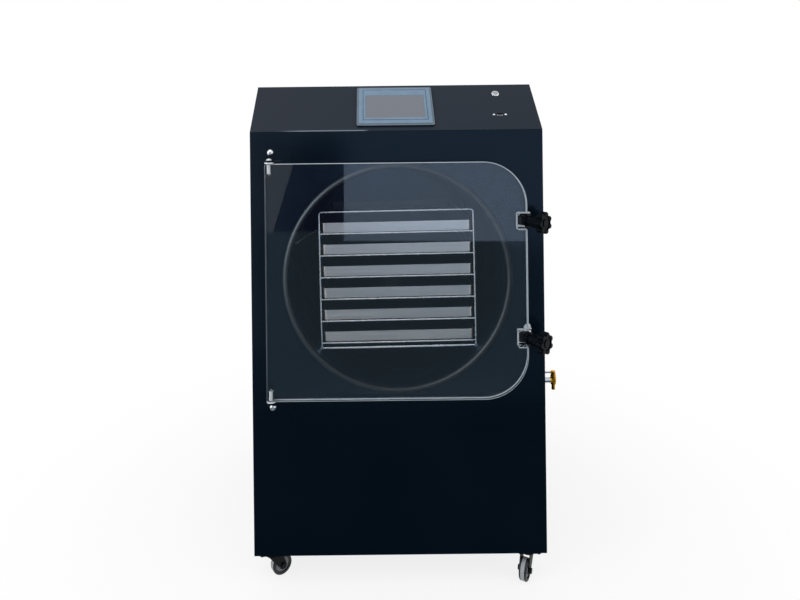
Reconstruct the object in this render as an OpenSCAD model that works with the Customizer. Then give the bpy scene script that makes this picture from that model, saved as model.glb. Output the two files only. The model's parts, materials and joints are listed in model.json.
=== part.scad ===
// Freeze dryer: a floor-standing cabinet on casters with a round vacuum chamber behind a clear
// side-hinged door, six trays on a wire rack, a sloping control face and swing-bolt door clamps.
// All sizes in millimetres. +X right, +Y to the back, +Z up, origin on the floor under the middle.

/* [Cabinet] */
// Width of the cabinet over its side panels
body_w = 704; // [680:2:800]
// Depth of the cabinet from front face to rear face
body_d = 700; // [680:10:820]
// Height of the upright front face
face_h = 1020; // [1000:10:1120]
// Rise of the sloping control face
hood_rise = 115; // [105:5:150]
// Depth of the sloping control face
hood_run = 120; // [115:5:150]
// Thickness of the cabinet sheet
sheet_t = 2; // [1.5:0.5:3]
// Thickness of the base pan and the deck
pan_t = 3; // [2:1:5]
// Height of the flange round the base pan
pan_flange = 40; // [25:5:60]
// Visible seam between neighbouring sheets
seam = 0.5; // [0.2:0.1:0.8]

/* [Chamber] */
// Inside radius of the drum
drum_r = 260; // [250:1:266]
// Wall of the drum
drum_wall = 4; // [3:1:6]
// Inside length of the drum behind the front face
drum_depth = 520; // [480:10:540]
// Height of the drum axis above the cabinet underside
drum_up = 669; // [650:1:680]
// Radius of the knuckle at the back of the drum
drum_knuckle = 40; // [20:5:60]
// How far the drum rim stands out of the front face
rim_out = 6; // [3:1:8]
// Radial width of the door seal
seal_w = 14; // [10:1:18]
// How far the door seal stands out of the front face
seal_out = 12; // [10:1:16]
// Radius of the cooling tube round the drum
coil_r = 6; // [5:1:8]
// Number of turns of the cooling tube
coil_turns = 10; // [6:1:12]
// Thickness of the foam jacket
jacket_t = 25; // [24:1:34]

/* [Door] */
// Thickness of the clear door pane
door_t = 20; // [15:1:25]
// Pane overhang past the seal at the top
door_over_top = 2; // [2:1:12]
// Pane overhang past the seal at the bottom
door_over_bottom = 11; // [2:1:20]
// Pane overhang past the seal on the hinge side
door_over_hinge = 39; // [32:1:42]
// Pane overhang past the seal on the latch side
door_over_latch = 32; // [30:1:36]
// Radius of the two big corners on the latch side
door_corner_r = 105; // [60:5:130]
// Radius of the two small corners on the hinge side
door_small_r = 6; // [3:1:10]
// Depth of each clamp notch in the pane
notch_d = 23; // [22:1:28]
// Height of each clamp notch in the pane
notch_h = 38; // [38:1:50]
// Distance of the hinge pins from the pane edge
hinge_inset = 10; // [8:1:14]
// Radius of the hinge pins
pin_r = 5; // [3.5:0.5:6]
// Depth of each hinge pin in the pane
pin_depth = 24; // [16:1:34]

/* [Clamps] */
// Distance between the two door clamps
clamp_pitch = 278; // [240:2:300]
// Distance of the clamp pivot from the notch floor
pivot_in = 12; // [11:1:14]
// Distance of the clamp pivot in front of the front face
pivot_out = 16; // [16:1:18]
// Radius of the swing bolt
bolt_r = 5; // [4:0.5:6]
// Radius of the eye of the swing bolt
eye_r = 9; // [8:0.5:9]
// Radius of the foot that presses on the pane
foot_r = 16; // [14:1:17]
// Length of the sleeve between foot and knob
sleeve_len = 30; // [28:1:40]
// Radius over the lobes of the star knob
knob_r = 26; // [22:1:27]
// Thickness of the star knob
knob_t = 16; // [14:1:24]
// Number of lobes of the star knob
knob_lobes = 7; // [5:1:9]
// Angle of the released clamp from straight out
clamp_rest = 43; // [43:1:55]

/* [Rack and trays] */
// Width of the tray rack
rack_w = 379; // [340:1:380]
// Length of the tray rack
rack_len = 440; // [380:10:450]
// Height from one tray to the next
tray_pitch = 53; // [44:1:54]
// Height of the rack frame above its skids
rack_foot = 12; // [11:1:20]
// Set-back of the rack behind the front face
rack_back = 20; // [16:1:40]
// Lean of the rack in the round drum, in degrees
rack_lean = 0.7; // [0:0.1:2]
// Radius of the rack frame wire
wire_r = 2.1; // [2:0.1:3]
// Radius of the rack cross bars
bar_r = 1.8; // [1.6:0.1:2]
// Gap between a tray and the rack on each side
tray_gap = 1.5; // [1:0.5:4]
// Height of a tray
tray_h = 24; // [16:1:32]
// Thickness of the tray sheet
tray_t = 1; // [0.8:0.1:1.5]

/* [Controls] */
// Width of the touch screen bezel
screen_w = 190; // [160:1:200]
// Height of the touch screen bezel along the slope
screen_h = 140; // [120:1:146]
// Thickness of the touch screen bezel
screen_t = 7; // [5:1:10]
// Width of the screen glass
glass_w = 146; // [120:1:150]
// Height of the screen glass
glass_h = 82; // [70:1:90]
// Gap from the fold to the bezel along the slope
screen_up = 14; // [4:1:18]
// Distance of button and data socket from the middle
button_x = 258; // [180:1:290]
// Distance of the button up the slope
button_up = 130; // [110:1:140]
// Distance of the data socket up the slope
socket_up = 53; // [30:1:80]
// Outside radius of the power button bezel
button_r = 9.5; // [8:0.5:12]
// Travel of the power button
button_travel = 2; // [1:0.5:3]

/* [Casters] */
// Overall height of a caster
caster_h = 70; // [66:1:84]
// Radius of a caster wheel
wheel_r = 25; // [22:1:28]
// Width of a caster wheel
wheel_w = 18; // [15:1:22]
// Trail of the wheel behind the swivel
caster_trail = 22; // [16:1:24]
// Distance of the swivels from the cabinet sides
caster_in_x = 40; // [38:1:70]
// Distance of the swivels from front and rear face
caster_in_y = 30; // [30:1:70]

/* [Services] */
// Drop of the drain valve below the drum's underside
valve_drop = 30; // [26:1:31]
// Set-back of the drain valve behind the front face
valve_back = 100; // [60:1:160]
// Reach of the drain valve from the side panel
valve_reach = 56; // [52:1:80]
// Bore radius of the vacuum port
port_bore_r = 12; // [8:1:16]
// Length of the vacuum port behind the rear face
port_len = 45; // [30:1:60]
// Radius of the cooling fan
fan_r = 110; // [80:5:115]
// Number of fan blades
fan_blades = 7; // [4:1:9]

/* [Hidden] */
$fn = 64;

// Clearances
seat = 0.2;        // between a piece and the curved seat that carries it
slip = 0.05;       // radial running clearance of pins and axles
play = 0.3;        // clearance of pieces that move past each other
hole_play = 0.3;   // radial clearance of screw holes
past = 1;          // how far a cut runs past the face it opens

// Cabinet
z_base = caster_h;
z_fold = z_base + face_h;
z_top = z_fold + hood_rise;
slope = atan(hood_rise / hood_run);
side_in = body_w / 2 - sheet_t;
top_in = sheet_t + seam;

// Chamber
drum_z = z_base + drum_up;
drum_out_r = drum_r + drum_wall;
drum_end = drum_depth + drum_wall;
flange_t = 6;
flange_r = drum_out_r + 30;
coil_mid_r = drum_out_r + coil_r + 0.6;
header_r = coil_r + 0.4;
jacket_in_r = coil_mid_r + header_r + 0.8;
jacket_r = jacket_in_r + jacket_t;
jacket_front = sheet_t + flange_t + seam;
jacket_end = drum_end + jacket_t + seam;
deck_z = drum_z - jacket_r - seat - pan_t;
seal_r = drum_r + seal_w;

// Door
door_back_y = -seal_out;
door_front_y = -seal_out - door_t;
door_left = -seal_r - door_over_hinge;
door_right = seal_r + door_over_latch;
door_bottom = drum_z - seal_r - door_over_bottom;
door_top = drum_z + seal_r + door_over_top;
door_mid_z = (door_bottom + door_top) / 2;
hinge_x = door_left + hinge_inset;
hinge_y = -seal_out - door_t / 2;
tab_gap = 3;
tab_t = 5;
tab_r = 10;
plate_w = 60;
plate_h = 34;
plate_t = 4;
hinge_screw_r = 8;
pin_cap_r = 7;

// Clamps
notch_x = door_right - notch_d;
pivot_x = notch_x + pivot_in;
foot_at = -door_front_y + play - pivot_out;
foot_t = 4;
knob_at = foot_at + foot_t + sleeve_len + play;
knob_bevel = 1.2;
ear_t = 3.5;
eye_h = 12;
notch_corner = 3;
pivot_pin_r = 4;
bracket_t = 3.5;
bracket_h = 28;
backing_t = 2.5;
clamp_z = [door_mid_z + clamp_pitch / 2, door_mid_z - clamp_pitch / 2];

// Rack and trays
tray_count = 6;
frame_x = rack_w / 2 - wire_r;
skid_r = 4;
low_bar_r = 2.6;
skid_z = -sqrt(pow(drum_r - play - skid_r, 2) - pow(frame_x, 2));
rack_z = skid_z + rack_foot;
rack_front_y = rack_back + low_bar_r + 0.5;
rack_rear_y = rack_back + rack_len - low_bar_r - 0.5;
rack_top = rack_z + tray_count * tray_pitch;
rack_corner = 6;
tray_w = rack_w - 4 * wire_r - 2 * tray_gap;
tray_front = rack_back + 2 * wire_r + 4;
tray_len = rack_len - 4 * wire_r - 8;
tray_corner = 8;
runner_x = tray_w / 2 - 8;

// Services
valve_z = drum_z - drum_out_r - valve_drop;
valve_r = 8;
nipple_r = 7;
pipe_r = 6;
elbow_r = 18;
valve_x = body_w / 2 + valve_reach - valve_r;
valve_h = 47;
spigot_r = 4.5;
spigot_len = 14;
port_wall = 2.5;
port_z = drum_z;
fan_x = -120;
fan_up = 215;
fan_z = z_base + fan_up;
fan_depth = 38;
fan_gap = 4;
fan_hub_r = 32;
fan_rim = 8;
strut_w = 8;
strut_t = 4;
boss_h = 6;
blade_chord = 56;
blade_t = 2;
shaft_r = 4;
rotor_at = boss_h + fan_gap;
rotor_len = fan_depth - boss_h - 10;

// Compressor
compressor_in_x = 200;   // its axis from the inside of the right panel
compressor_in_y = 440;   // its axis from the rear face
pot_r = 82;
pot_h = 190;
pot_knuckle = 12;
pot_dome = 32;
pot_seam = 5;
mount_r = 13;
mount_h = 14;
mount_in = 20;
stand_w = 210;
stand_d = 160;
stand_t = 3;

// The front reach is the knob face, the rear reach the vacuum port, the right reach the valve
knob_reach = pivot_out + max(
    (knob_at + knob_t) * cos(clamp_rest) + (knob_r - knob_bevel) * sin(clamp_rest),
    (knob_at + knob_t - 2) * cos(clamp_rest) + knob_r * sin(clamp_rest)
);
shift_x = -valve_reach / 2;
shift_y = -(body_d + port_len - knob_reach) / 2;

// ---------------------------------------------------------------- helpers

// Moves the cabinet's own frame (middle of the front face) to the model's origin
module in_frame() translate([shift_x, shift_y, 0]) children();

// Turns a shape made along +Z so that it runs along +Y from y0
module along_y(y0) translate([0, y0, 0]) rotate([-90, 0, 0]) children();

// Turns a shape made along +Z so that it runs along +X from x0
module along_x(x0) translate([x0, 0, 0]) rotate([0, 90, 0]) children();

// Puts children on the sloping face: +Z out of the face, +Y up the slope
module on_slope(x, up)
    translate([x, up * cos(slope), z_fold + up * sin(slope)]) rotate([slope, 0, 0]) children();

// Puts children in the drum's frame, at the front face on the drum axis
module at_drum() translate([0, 0, drum_z]) children();

// Puts children in the rack's frame, which leans in the round drum
module in_rack() at_drum() rotate([0, -rack_lean, 0]) children();

// Flat rectangle with rounded corners, centred
module round_rect(w, h, r) {
    square([w - 2 * r, h], center = true);
    square([w, h - 2 * r], center = true);
    for (x = [-1, 1], y = [-1, 1])
        translate([x * (w / 2 - r), y * (h / 2 - r)]) circle(r);
}

// Flat slot with round ends, centred, w long and h high
module slot(w, h) {
    square([w - h, h], center = true);
    for (x = [-1, 1]) translate([x * (w - h) / 2, 0]) circle(h / 2);
}

module ring(r_out, r_in) difference() {
    circle(r_out);
    circle(r_in);
}

module tube(r_out, r_in, h) linear_extrude(h) ring(r_out, r_in);

// Half section of a closed pot for revolving: radius r, from y = a to y = b, knuckle k at b
module pot_section(r, a, b, k) {
    translate([0, a]) square([r, b - a - k]);
    translate([0, a]) square([r - k, b - a]);
    translate([r - k, b - k]) circle(k);
}

// Round rod between two points
module rod(p, q, r) {
    v = q - p;
    len = norm(v);
    translate(p) rotate([0, acos(v.z / len), atan2(v.y, v.x)]) cylinder(r = r, h = len);
}

// Domed screw head with a six-sided socket, the head standing on z = 0, shank below
module button_screw(head_r, shank_r, length) {
    dome = head_r * 0.6;
    ball = (head_r * head_r + dome * dome) / (2 * dome);
    difference() {
        intersection() {
            cylinder(r = head_r, h = dome);
            translate([0, 0, dome - ball]) sphere(ball);
        }
        translate([0, 0, dome * 0.35]) cylinder(r = head_r * 0.38, h = dome, $fn = 6);
    }
    translate([0, 0, -length]) cylinder(r = shank_r, h = length + dome * 0.2);
}

// ---------------------------------------------------------------- cabinet sheet metal

// Outline of the side panel in (y, z)
module side_outline() {
    front = sheet_t + seam;
    line_z = z_fold + (front - top_in * sin(slope)) * tan(slope) - top_in * cos(slope);
    polygon([
        [front, z_base], [body_d, z_base], [body_d, z_top - top_in],
        [hood_run + top_in * tan(slope / 2), z_top - top_in], [front, line_z]
    ]);
}

// Extrudes an outline given in (y, z) from x0 to x1
module profile_x(x0, x1) translate([x0, 0, 0]) rotate([90, 0, 90]) linear_extrude(x1 - x0) children();

// Rows of vent slots in (y, z) for the side panels
vent_rows = 9;
vent_pitch = 16;
vent_len = 120;
vent_w = 6;
vent_y = body_d - 150;
vent_z = z_base + 120;
module side_vents() for (i = [0 : vent_rows - 1])
    translate([vent_y, vent_z + i * vent_pitch]) slot(vent_len, vent_w);

module side_panel_left() color("#1b2530") in_frame() profile_x(-body_w / 2, -side_in)
    difference() {
        side_outline();
        side_vents();
    }

module side_panel_right() color("#1b2530") in_frame() difference() {
    profile_x(side_in, body_w / 2) difference() {
        side_outline();
        side_vents();
        translate([valve_back, valve_z]) circle(nipple_r + hole_play);
    }
    // Room for the bracket screws, for a cabinet so narrow that the clamps reach its side
    for (p = clamp_screw_at) translate([p.x, 0, p.z]) along_y(0)
        cylinder(r = bracket_shank_r + hole_play, h = bracket_screw_end + hole_play);
}

module front_panel() color("#1b2530") in_frame() difference() {
    translate([-body_w / 2, 0, z_base]) cube([body_w, sheet_t, face_h - seam]);
    at_drum() along_y(-past) cylinder(r = drum_out_r + seam, h = sheet_t + 2 * past, $fn = 128);
    for (set = [[hinge_screw_at, screw_shank_r], [clamp_screw_at, bracket_shank_r],
                [plate_screw_at, small_shank_r]], p = set[0])
        translate([p.x, 0, p.z]) along_y(-past) cylinder(r = set[1] + hole_play, h = sheet_t + 2 * past);
}

module control_panel() color("#2b343d") in_frame() difference() {
    profile_x(-body_w / 2, body_w / 2) polygon([
        [0, z_fold], [hood_run, z_top],
        [hood_run + sheet_t * tan(slope / 2), z_top - sheet_t],
        [sheet_t / sin(slope), z_fold]
    ]);
    on_slope(0, screen_mid) translate([0, 0, -sheet_t - past])
        linear_extrude(sheet_t + 2 * past) round_rect(screen_w - 12, screen_h - 12, 4);
    on_slope(button_x, button_up) translate([0, 0, -sheet_t - past])
        cylinder(r = button_body_r + hole_play, h = sheet_t + 2 * past);
    on_slope(button_x, socket_up) translate([0, 0, -sheet_t - past])
        linear_extrude(sheet_t + 2 * past) {
            round_rect(socket_w + 1, socket_h + 1, 1);
            for (s = [-1, 1]) translate([s * socket_screw_x, 0]) circle(small_shank_r + hole_play);
        }
}

module top_panel() color("#1b2530") in_frame() profile_x(-body_w / 2, body_w / 2) polygon([
    [hood_run + seam, z_top], [body_d, z_top], [body_d, z_top - sheet_t],
    [hood_run + sheet_t * tan(slope / 2) + seam, z_top - sheet_t]
]);

// Grille of ring slots, cut by four webs, centred on the fan
grille_rings = 9;
grille_slot = 7;
module fan_grille() {
    pitch = (fan_r - 14) / grille_rings;
    difference() {
        for (i = [1 : grille_rings])
            ring(10 + i * pitch, 10 + i * pitch - grille_slot);
        for (a = [45, 135]) rotate(a) square([2 * fan_r + 20, 8], center = true);
    }
}

module rear_panel() color("#1b2530") in_frame() difference() {
    translate([-side_in + seam, body_d - sheet_t, z_base])
        cube([2 * side_in - 2 * seam, sheet_t, z_top - z_base - sheet_t - seam]);
    translate([fan_x, 0, fan_z]) along_y(body_d - sheet_t - past)
        linear_extrude(sheet_t + 2 * past) fan_grille();
    translate([0, 0, port_z]) along_y(body_d - sheet_t - past)
        cylinder(r = port_bore_r + port_wall + hole_play, h = sheet_t + 2 * past);
    translate([inlet_x, 0, inlet_z]) along_y(body_d - sheet_t - past)
        linear_extrude(sheet_t + 2 * past) square([inlet_w - 8, inlet_h - 6], center = true);
    for (i = [0 : vent_rows - 1])
        translate([inlet_x, 0, inlet_z + 70 + i * vent_pitch]) along_y(body_d - sheet_t - past)
            linear_extrude(sheet_t + 2 * past) slot(vent_len, vent_w);
}

module base_pan() color("#23282d") in_frame() {
    w = 2 * side_in - 2 * seam;
    d = body_d - 2 * sheet_t - 2 * seam;
    translate([-w / 2, sheet_t + seam, z_base]) difference() {
        cube([w, d, pan_flange]);
        translate([pan_t, pan_t, pan_t]) cube([w - 2 * pan_t, d - 2 * pan_t, pan_flange]);
    }
}

// Shelf under the insulated drum, carried by flanges on the side panels
module deck_plate() color("#23282d") in_frame() {
    w = 2 * side_in - 2 * seam;
    y0 = sheet_t + seam;
    y1 = body_d - sheet_t - seam;
    translate([-w / 2, y0, deck_z]) cube([w, y1 - y0, pan_t]);
    for (x = [-w / 2, w / 2 - pan_t])
        translate([x, y0, deck_z - pan_flange]) cube([pan_t, y1 - y0, pan_flange + pan_t]);
}

// ---------------------------------------------------------------- chamber

module chamber_drum() color("#8d949a") in_frame() at_drum() difference() {
    union() {
        along_y(0) rotate_extrude($fn = 128) difference() {
            pot_section(drum_out_r, -rim_out, drum_end, drum_knuckle + drum_wall);
            pot_section(drum_r, -rim_out - past, drum_depth, drum_knuckle);
            translate([-2 * drum_r, -past * 9]) square([2 * drum_r, 2 * drum_depth]);
        }
        along_y(sheet_t) tube(flange_r, drum_out_r - drum_wall / 2, flange_t, $fn = 128);
    }
    along_y(drum_depth - past) cylinder(r = port_bore_r + port_wall + seat, h = drum_wall + 2 * past);
    translate([0, valve_back, -drum_out_r - past])
        cylinder(r = pipe_r + seat, h = drum_wall + 3 * past);
}

module chamber_jacket() color("#d8cfa8") in_frame() at_drum() difference() {
    along_y(jacket_front) rotate_extrude($fn = 96) difference() {
        square([jacket_r, jacket_end - jacket_front]);
        translate([0, -past]) square([jacket_in_r, drum_end + seam - jacket_front + past]);
    }
    along_y(drum_end) cylinder(r = port_bore_r + port_wall + 1, h = jacket_t + 2 * past + seam);
    translate([-pipe_r - 2, valve_back - pipe_r - 2, -jacket_r - past])
        cube([2 * pipe_r + 4, 2 * pipe_r + 4, jacket_r]);
    translate([0, valve_back - pipe_r - 2, -jacket_r - past])
        cube([jacket_r, 2 * pipe_r + 4, jacket_r + past - drum_out_r - valve_drop + elbow_r + 2]);
}

// Rings of cooling tube round the drum, fed by two straight headers
module cooling_coil() color("#b8703a") in_frame() at_drum() {
    first = valve_back + 30;
    pitch = (drum_depth - drum_knuckle - first) / (coil_turns - 1);
    for (i = [0 : coil_turns - 1])
        along_y(first + i * pitch) rotate_extrude($fn = 96) translate([coil_mid_r, 0]) circle(coil_r);
    for (a = [20, 160]) rotate([0, a, 0]) translate([0, first - 15, coil_mid_r]) rotate([-90, 0, 0])
        cylinder(r = header_r, h = (coil_turns - 1) * pitch + 30);
}

// Seal with a square heel over the drum rim and a rounded nose under the pane
module door_seal() color("#15181b") in_frame() at_drum() along_y(0) rotate_extrude($fn = 128) {
    nose = min(3, (seal_out - play - rim_out - seat) / 2);
    heel_r = drum_out_r + seat;
    front = -seal_out + play;
    translate([heel_r, front + nose]) square([seal_r - heel_r, -front - nose]);
    translate([drum_r + nose, front]) square([seal_r - drum_r - 2 * nose, nose]);
    translate([drum_r, front + nose]) square([heel_r - drum_r + nose, -front - nose - rim_out - seat]);
    translate([seal_r - nose, front + nose]) circle(nose);
    translate([drum_r + nose, front + nose]) circle(nose);
}

// ---------------------------------------------------------------- rack and trays

// One end ladder of the rack at depth y: two uprights, a cross bar under each tray and a stronger
// bar between the skids
module rack_ladder(y, top) {
    for (s = [-1, 1])
        translate([s * frame_x, y, skid_z]) cylinder(r = wire_r, h = top - skid_z);
    for (i = [0 : tray_count - 1])
        translate([0, y, rack_z + i * tray_pitch]) along_x(-frame_x) cylinder(r = bar_r, h = 2 * frame_x);
    translate([0, y, skid_z]) along_x(-frame_x) cylinder(r = low_bar_r, h = 2 * frame_x);
}

// Wire rack: a tall front hoop, a lower rear ladder, two skids and a pair of runners per tray
module tray_rack() color("#c9ced2") in_frame() in_rack() {
    $fn = 32;
    rack_ladder(rack_front_y, rack_top - rack_corner);
    rack_ladder(rack_rear_y, rack_z + (tray_count - 1) * tray_pitch + 6);
    translate([0, rack_front_y, rack_top]) along_x(-frame_x + rack_corner)
        cylinder(r = wire_r, h = 2 * (frame_x - rack_corner));
    run = rack_rear_y - rack_front_y;
    for (s = [-1, 1]) {
        translate([s * (frame_x - rack_corner), rack_front_y, rack_top - rack_corner])
            rotate([90, 0, 0]) rotate([0, 0, s > 0 ? 0 : 90]) rotate_extrude(angle = 90)
                translate([rack_corner, 0]) circle(wire_r);
        translate([s * frame_x, 0, skid_z]) along_y(rack_back) cylinder(r = skid_r, h = rack_len);
        for (i = [0 : tray_count - 1])
            translate([s * runner_x, 0, rack_z + i * tray_pitch])
                along_y(rack_front_y) cylinder(r = bar_r - 0.3, h = run);
    }
}

// Folded tray with a hemmed rim; number 1 is the top tray
module tray(number) color("#b9bfc4") in_frame() in_rack()
    translate([0, tray_front + tray_len / 2, rack_z + (tray_count - number) * tray_pitch + bar_r + seat])
    difference() {
        union() {
            linear_extrude(tray_h) round_rect(tray_w - 2 * tray_t, tray_len - 2 * tray_t, tray_corner);
            translate([0, 0, tray_h - 3 * tray_t]) linear_extrude(3 * tray_t)
                round_rect(tray_w, tray_len, tray_corner + tray_t);
        }
        translate([0, 0, tray_t]) linear_extrude(tray_h)
            round_rect(tray_w - 4 * tray_t, tray_len - 4 * tray_t, tray_corner - tray_t);
    }
module tray_1() tray(1);
module tray_2() tray(2);
module tray_3() tray(3);
module tray_4() tray(4);
module tray_5() tray(5);
module tray_6() tray(6);

// Sheathed probe that reaches from a gland on the drum wall to the rack's upper left corner
module temperature_probe() color("#c9ced2") in_frame() at_drum() intersection() {
    tip = [-frame_x - wire_r - 4, rack_front_y + 12, drum_r * 0.425];
    wall = [-drum_r * 0.97, rack_front_y + 12, drum_r * 0.29];
    dir = (tip - wall) / norm(tip - wall);
    union() {
        rod(wall, tip, 1);
        rod(wall, wall + dir * 13, 4);
        rod(wall + dir * 11, wall + dir * 18, 2.5);
    }
    along_y(0) cylinder(r = drum_r - seat, h = drum_depth, $fn = 128);
}

// ---------------------------------------------------------------- controls on the slope

screen_mid = screen_up + screen_h / 2;
screen_corner = 5;
screen_recess = 1.5;
rim_w = 5;
rib_w = 1.2;
glass_drop = 4;
button_body_r = button_r - 1.8;
cap_r = button_r - 3.5;
socket_w = 14;
socket_h = 7;
socket_screw_x = 14.5;

// Bezel with a bevelled edge, a shallow glass recess and the case behind the panel
module screen_housing() color("#9fb4c6") in_frame() on_slope(0, screen_mid) difference() {
    union() {
        linear_extrude(screen_t - 2) round_rect(screen_w, screen_h, screen_corner);
        translate([0, 0, screen_t - 2]) linear_extrude(2)
            round_rect(screen_w - 2 * rim_w, screen_h - 2 * rim_w, screen_corner - 2);
        // fine raised rib round the overlay
        translate([0, 2, screen_t - 0.5]) linear_extrude(1) difference() {
            square([screen_w - 30, screen_h - 28], center = true);
            square([screen_w - 30 - 2 * rib_w, screen_h - 28 - 2 * rib_w], center = true);
        }
        translate([0, 0, -34]) linear_extrude(34.5) round_rect(screen_w - 14, screen_h - 14, 3);
    }
    translate([0, -glass_drop, screen_t - screen_recess]) linear_extrude(screen_recess + past)
        square([glass_w, glass_h], center = true);
}

module screen_glass() color("#707a82") in_frame() on_slope(0, screen_mid)
    translate([0, -glass_drop, screen_t - screen_recess]) linear_extrude(screen_recess - 0.6)
        square([glass_w - 2 * seat, glass_h - 2 * seat], center = true);

// Threaded metal push button: ring with a bore for the cap, closed at the back
module button_bezel() color("#c9ced2") in_frame() on_slope(button_x, button_up) difference() {
    union() {
        cylinder(r = button_r, h = 1.4);
        translate([0, 0, 1.4]) cylinder(r1 = button_r, r2 = button_r - 1, h = 1, $fn = 64);
        translate([0, 0, -24]) cylinder(r = button_body_r, h = 24.5);
        translate([0, 0, -sheet_t - 3]) cylinder(r = button_r, h = 3, $fn = 6);
    }
    translate([0, 0, -cap_len - button_travel - 1]) cylinder(r = cap_r + play, h = 30);
}
cap_len = 6;

module button_cap() color("#dfe3e6") in_frame() on_slope(button_x, button_up) {
    translate([0, 0, -cap_len + 1.4]) cylinder(r = cap_r, h = cap_len + 0.6);
    translate([0, 0, 2]) cylinder(r1 = cap_r, r2 = cap_r - 0.8, h = 0.8, $fn = 64);
}

// Panel data socket: metal shell with a tongue, flange behind the panel and its two screws
module data_socket() color("#a9aeb2") in_frame() on_slope(button_x, socket_up) {
    difference() {
        union() {
            translate([0, 0, -18]) linear_extrude(18) round_rect(socket_w, socket_h, 0.8);
            translate([0, 0, -sheet_t - 2]) linear_extrude(2) slot(2 * socket_screw_x + 10, 10);
        }
        translate([0, 0, -16]) linear_extrude(17) square([socket_w - 1.6, socket_h - 1.6], center = true);
        for (s = [-1, 1]) translate([s * socket_screw_x, 0, -sheet_t - 2 - past])
            cylinder(r = small_shank_r + hole_play, h = 4);
    }
    translate([0, 1, -16.5]) linear_extrude(15.5) square([socket_w - 3.4, 1.8], center = true);
}

// ---------------------------------------------------------------- door and hinges

module door_outline() {
    w = door_right - door_left;
    h = door_top - door_bottom;
    r = min(door_corner_r, h / 2 - 1);
    translate([door_left, door_bottom]) {
        translate([0, door_small_r]) square([w - r, h - 2 * door_small_r]);
        translate([door_small_r, 0]) square([w - r - door_small_r, h]);
        translate([w / 2, r]) square([w / 2, h - 2 * r]);
        for (z = [r, h - r]) translate([w - r, z]) circle(r, $fn = 128);
        for (z = [door_small_r, h - door_small_r]) translate([door_small_r, z]) circle(door_small_r);
    }
}

// Notch open to the latch edge, with rounded inner corners
module notch_outline(z) {
    corner = notch_corner;
    translate([notch_x + corner, z - notch_h / 2]) square([notch_d + past, notch_h]);
    translate([notch_x, z - notch_h / 2 + corner]) square([notch_d, notch_h - 2 * corner]);
    for (s = [-1, 1]) translate([notch_x + corner, z + s * (notch_h / 2 - corner)]) circle(corner);
}

// Extrudes an outline given in (x, z) from y0 to y1
module profile_y(y0, y1) translate([0, y1, 0]) rotate([90, 0, 0]) linear_extrude(y1 - y0) children();

module door_pane() color("#cfe0ea", 0.35) in_frame() difference() {
    profile_y(door_front_y, door_back_y) difference() {
        door_outline();
        for (z = clamp_z) notch_outline(z);
    }
    for (s = [-1, 1]) mirror_z(s) translate([hinge_x, hinge_y, pane_half - pin_depth - 1]) {
        cylinder(r = pin_r + slip, h = pin_depth + 1 + past);
        translate([0, 0, -pin_r]) cylinder(r1 = 0.1, r2 = pin_r + slip, h = pin_r + slip, $fn = 64);
    }
}
pane_half = (door_top - door_bottom) / 2;

// Mirrors children about the door's middle height: s = 1 upper, s = -1 lower
module mirror_z(s) translate([0, 0, door_mid_z]) mirror([0, 0, s > 0 ? 0 : 1]) children();

tab_z = pane_half + tab_gap;
screw_shank_r = 2.5;
hinge_screw_up = tab_z + tab_t + plate_h - 17;
hinge_screw_at = [for (s = [-1, 1]) [hinge_x, 0, door_mid_z + s * hinge_screw_up]];
plate_x = door_left + 1;

// Folded hinge bracket: a plate on the front face and a tab over the pane's edge
module hinge_bracket(s) color("#14181c") in_frame() mirror_z(s) difference() {
    union() {
        profile_y(-plate_t, 0) translate([plate_x + plate_w / 2, tab_z + plate_h / 2 - 3])
            round_rect(plate_w, plate_h, 2);
        translate([0, 0, tab_z]) linear_extrude(tab_t) {
            translate([hinge_x, hinge_y]) circle(tab_r);
            polygon([
                [hinge_x - tab_r, hinge_y], [hinge_x + tab_r, hinge_y],
                [plate_x + plate_w * 0.62, -plate_t + 0.5], [plate_x + plate_w * 0.62, 0],
                [hinge_x - tab_r, 0]
            ]);
        }
    }
    translate([hinge_x, hinge_y, tab_z - past]) cylinder(r = pin_r + slip, h = tab_t + 2 * past);
    translate([hinge_x, 0, hinge_screw_up]) along_y(-plate_t - past)
        cylinder(r = screw_shank_r + hole_play, h = plate_t + 2 * past);
}
module hinge_bracket_upper() hinge_bracket(1);
module hinge_bracket_lower() hinge_bracket(-1);

// Pin with a domed cap on the tab, a thrust collar and a pointed end in the pane
module hinge_pin(s) color("#d5dadd") in_frame() mirror_z(s) translate([hinge_x, hinge_y, 0]) {
    tip = pane_half - pin_depth;
    translate([0, 0, tip]) cylinder(r = pin_r, h = tab_z + tab_t - tip + 1);
    translate([0, 0, tip - pin_r + 1]) cylinder(r1 = 1, r2 = pin_r, h = pin_r - 1, $fn = 64);
    translate([0, 0, pane_half + play]) cylinder(r = tab_r + 1, h = tab_gap - play);
    translate([0, 0, tab_z + tab_t]) intersection() {
        cylinder(r = pin_cap_r, h = 5);
        translate([0, 0, -4]) sphere(8.2);
    }
}
module hinge_pin_upper() hinge_pin(1);
module hinge_pin_lower() hinge_pin(-1);

module hinge_screws() color("#d5dadd") in_frame() for (p = hinge_screw_at)
    translate([p.x, -plate_t, p.z]) rotate([90, 0, 0])
        button_screw(hinge_screw_r, screw_shank_r, plate_t + sheet_t + 6);

// ---------------------------------------------------------------- clamps

backing_w = 36;
bracket_w = 28;
bracket_x = pivot_x - 2;
bracket_head_r = 3.5;
bracket_shank_r = 2;
bracket_screw_end = sheet_t + 5;   // how deep the bracket screws reach behind the front face
ear_in_r = 9;
small_head_r = 3;
small_shank_r = 1.5;
small_len = backing_t + sheet_t + 4;
plate_screw_at = [for (z = clamp_z, s = [-1, 1]) [notch_x + 5.5, 0, z + s * (notch_h / 2 - 5.5)]];
clamp_screw_at = [for (z = clamp_z, s = [-1, 1]) [pivot_x + 19.5, 0, z + s * 9.5]];

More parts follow.
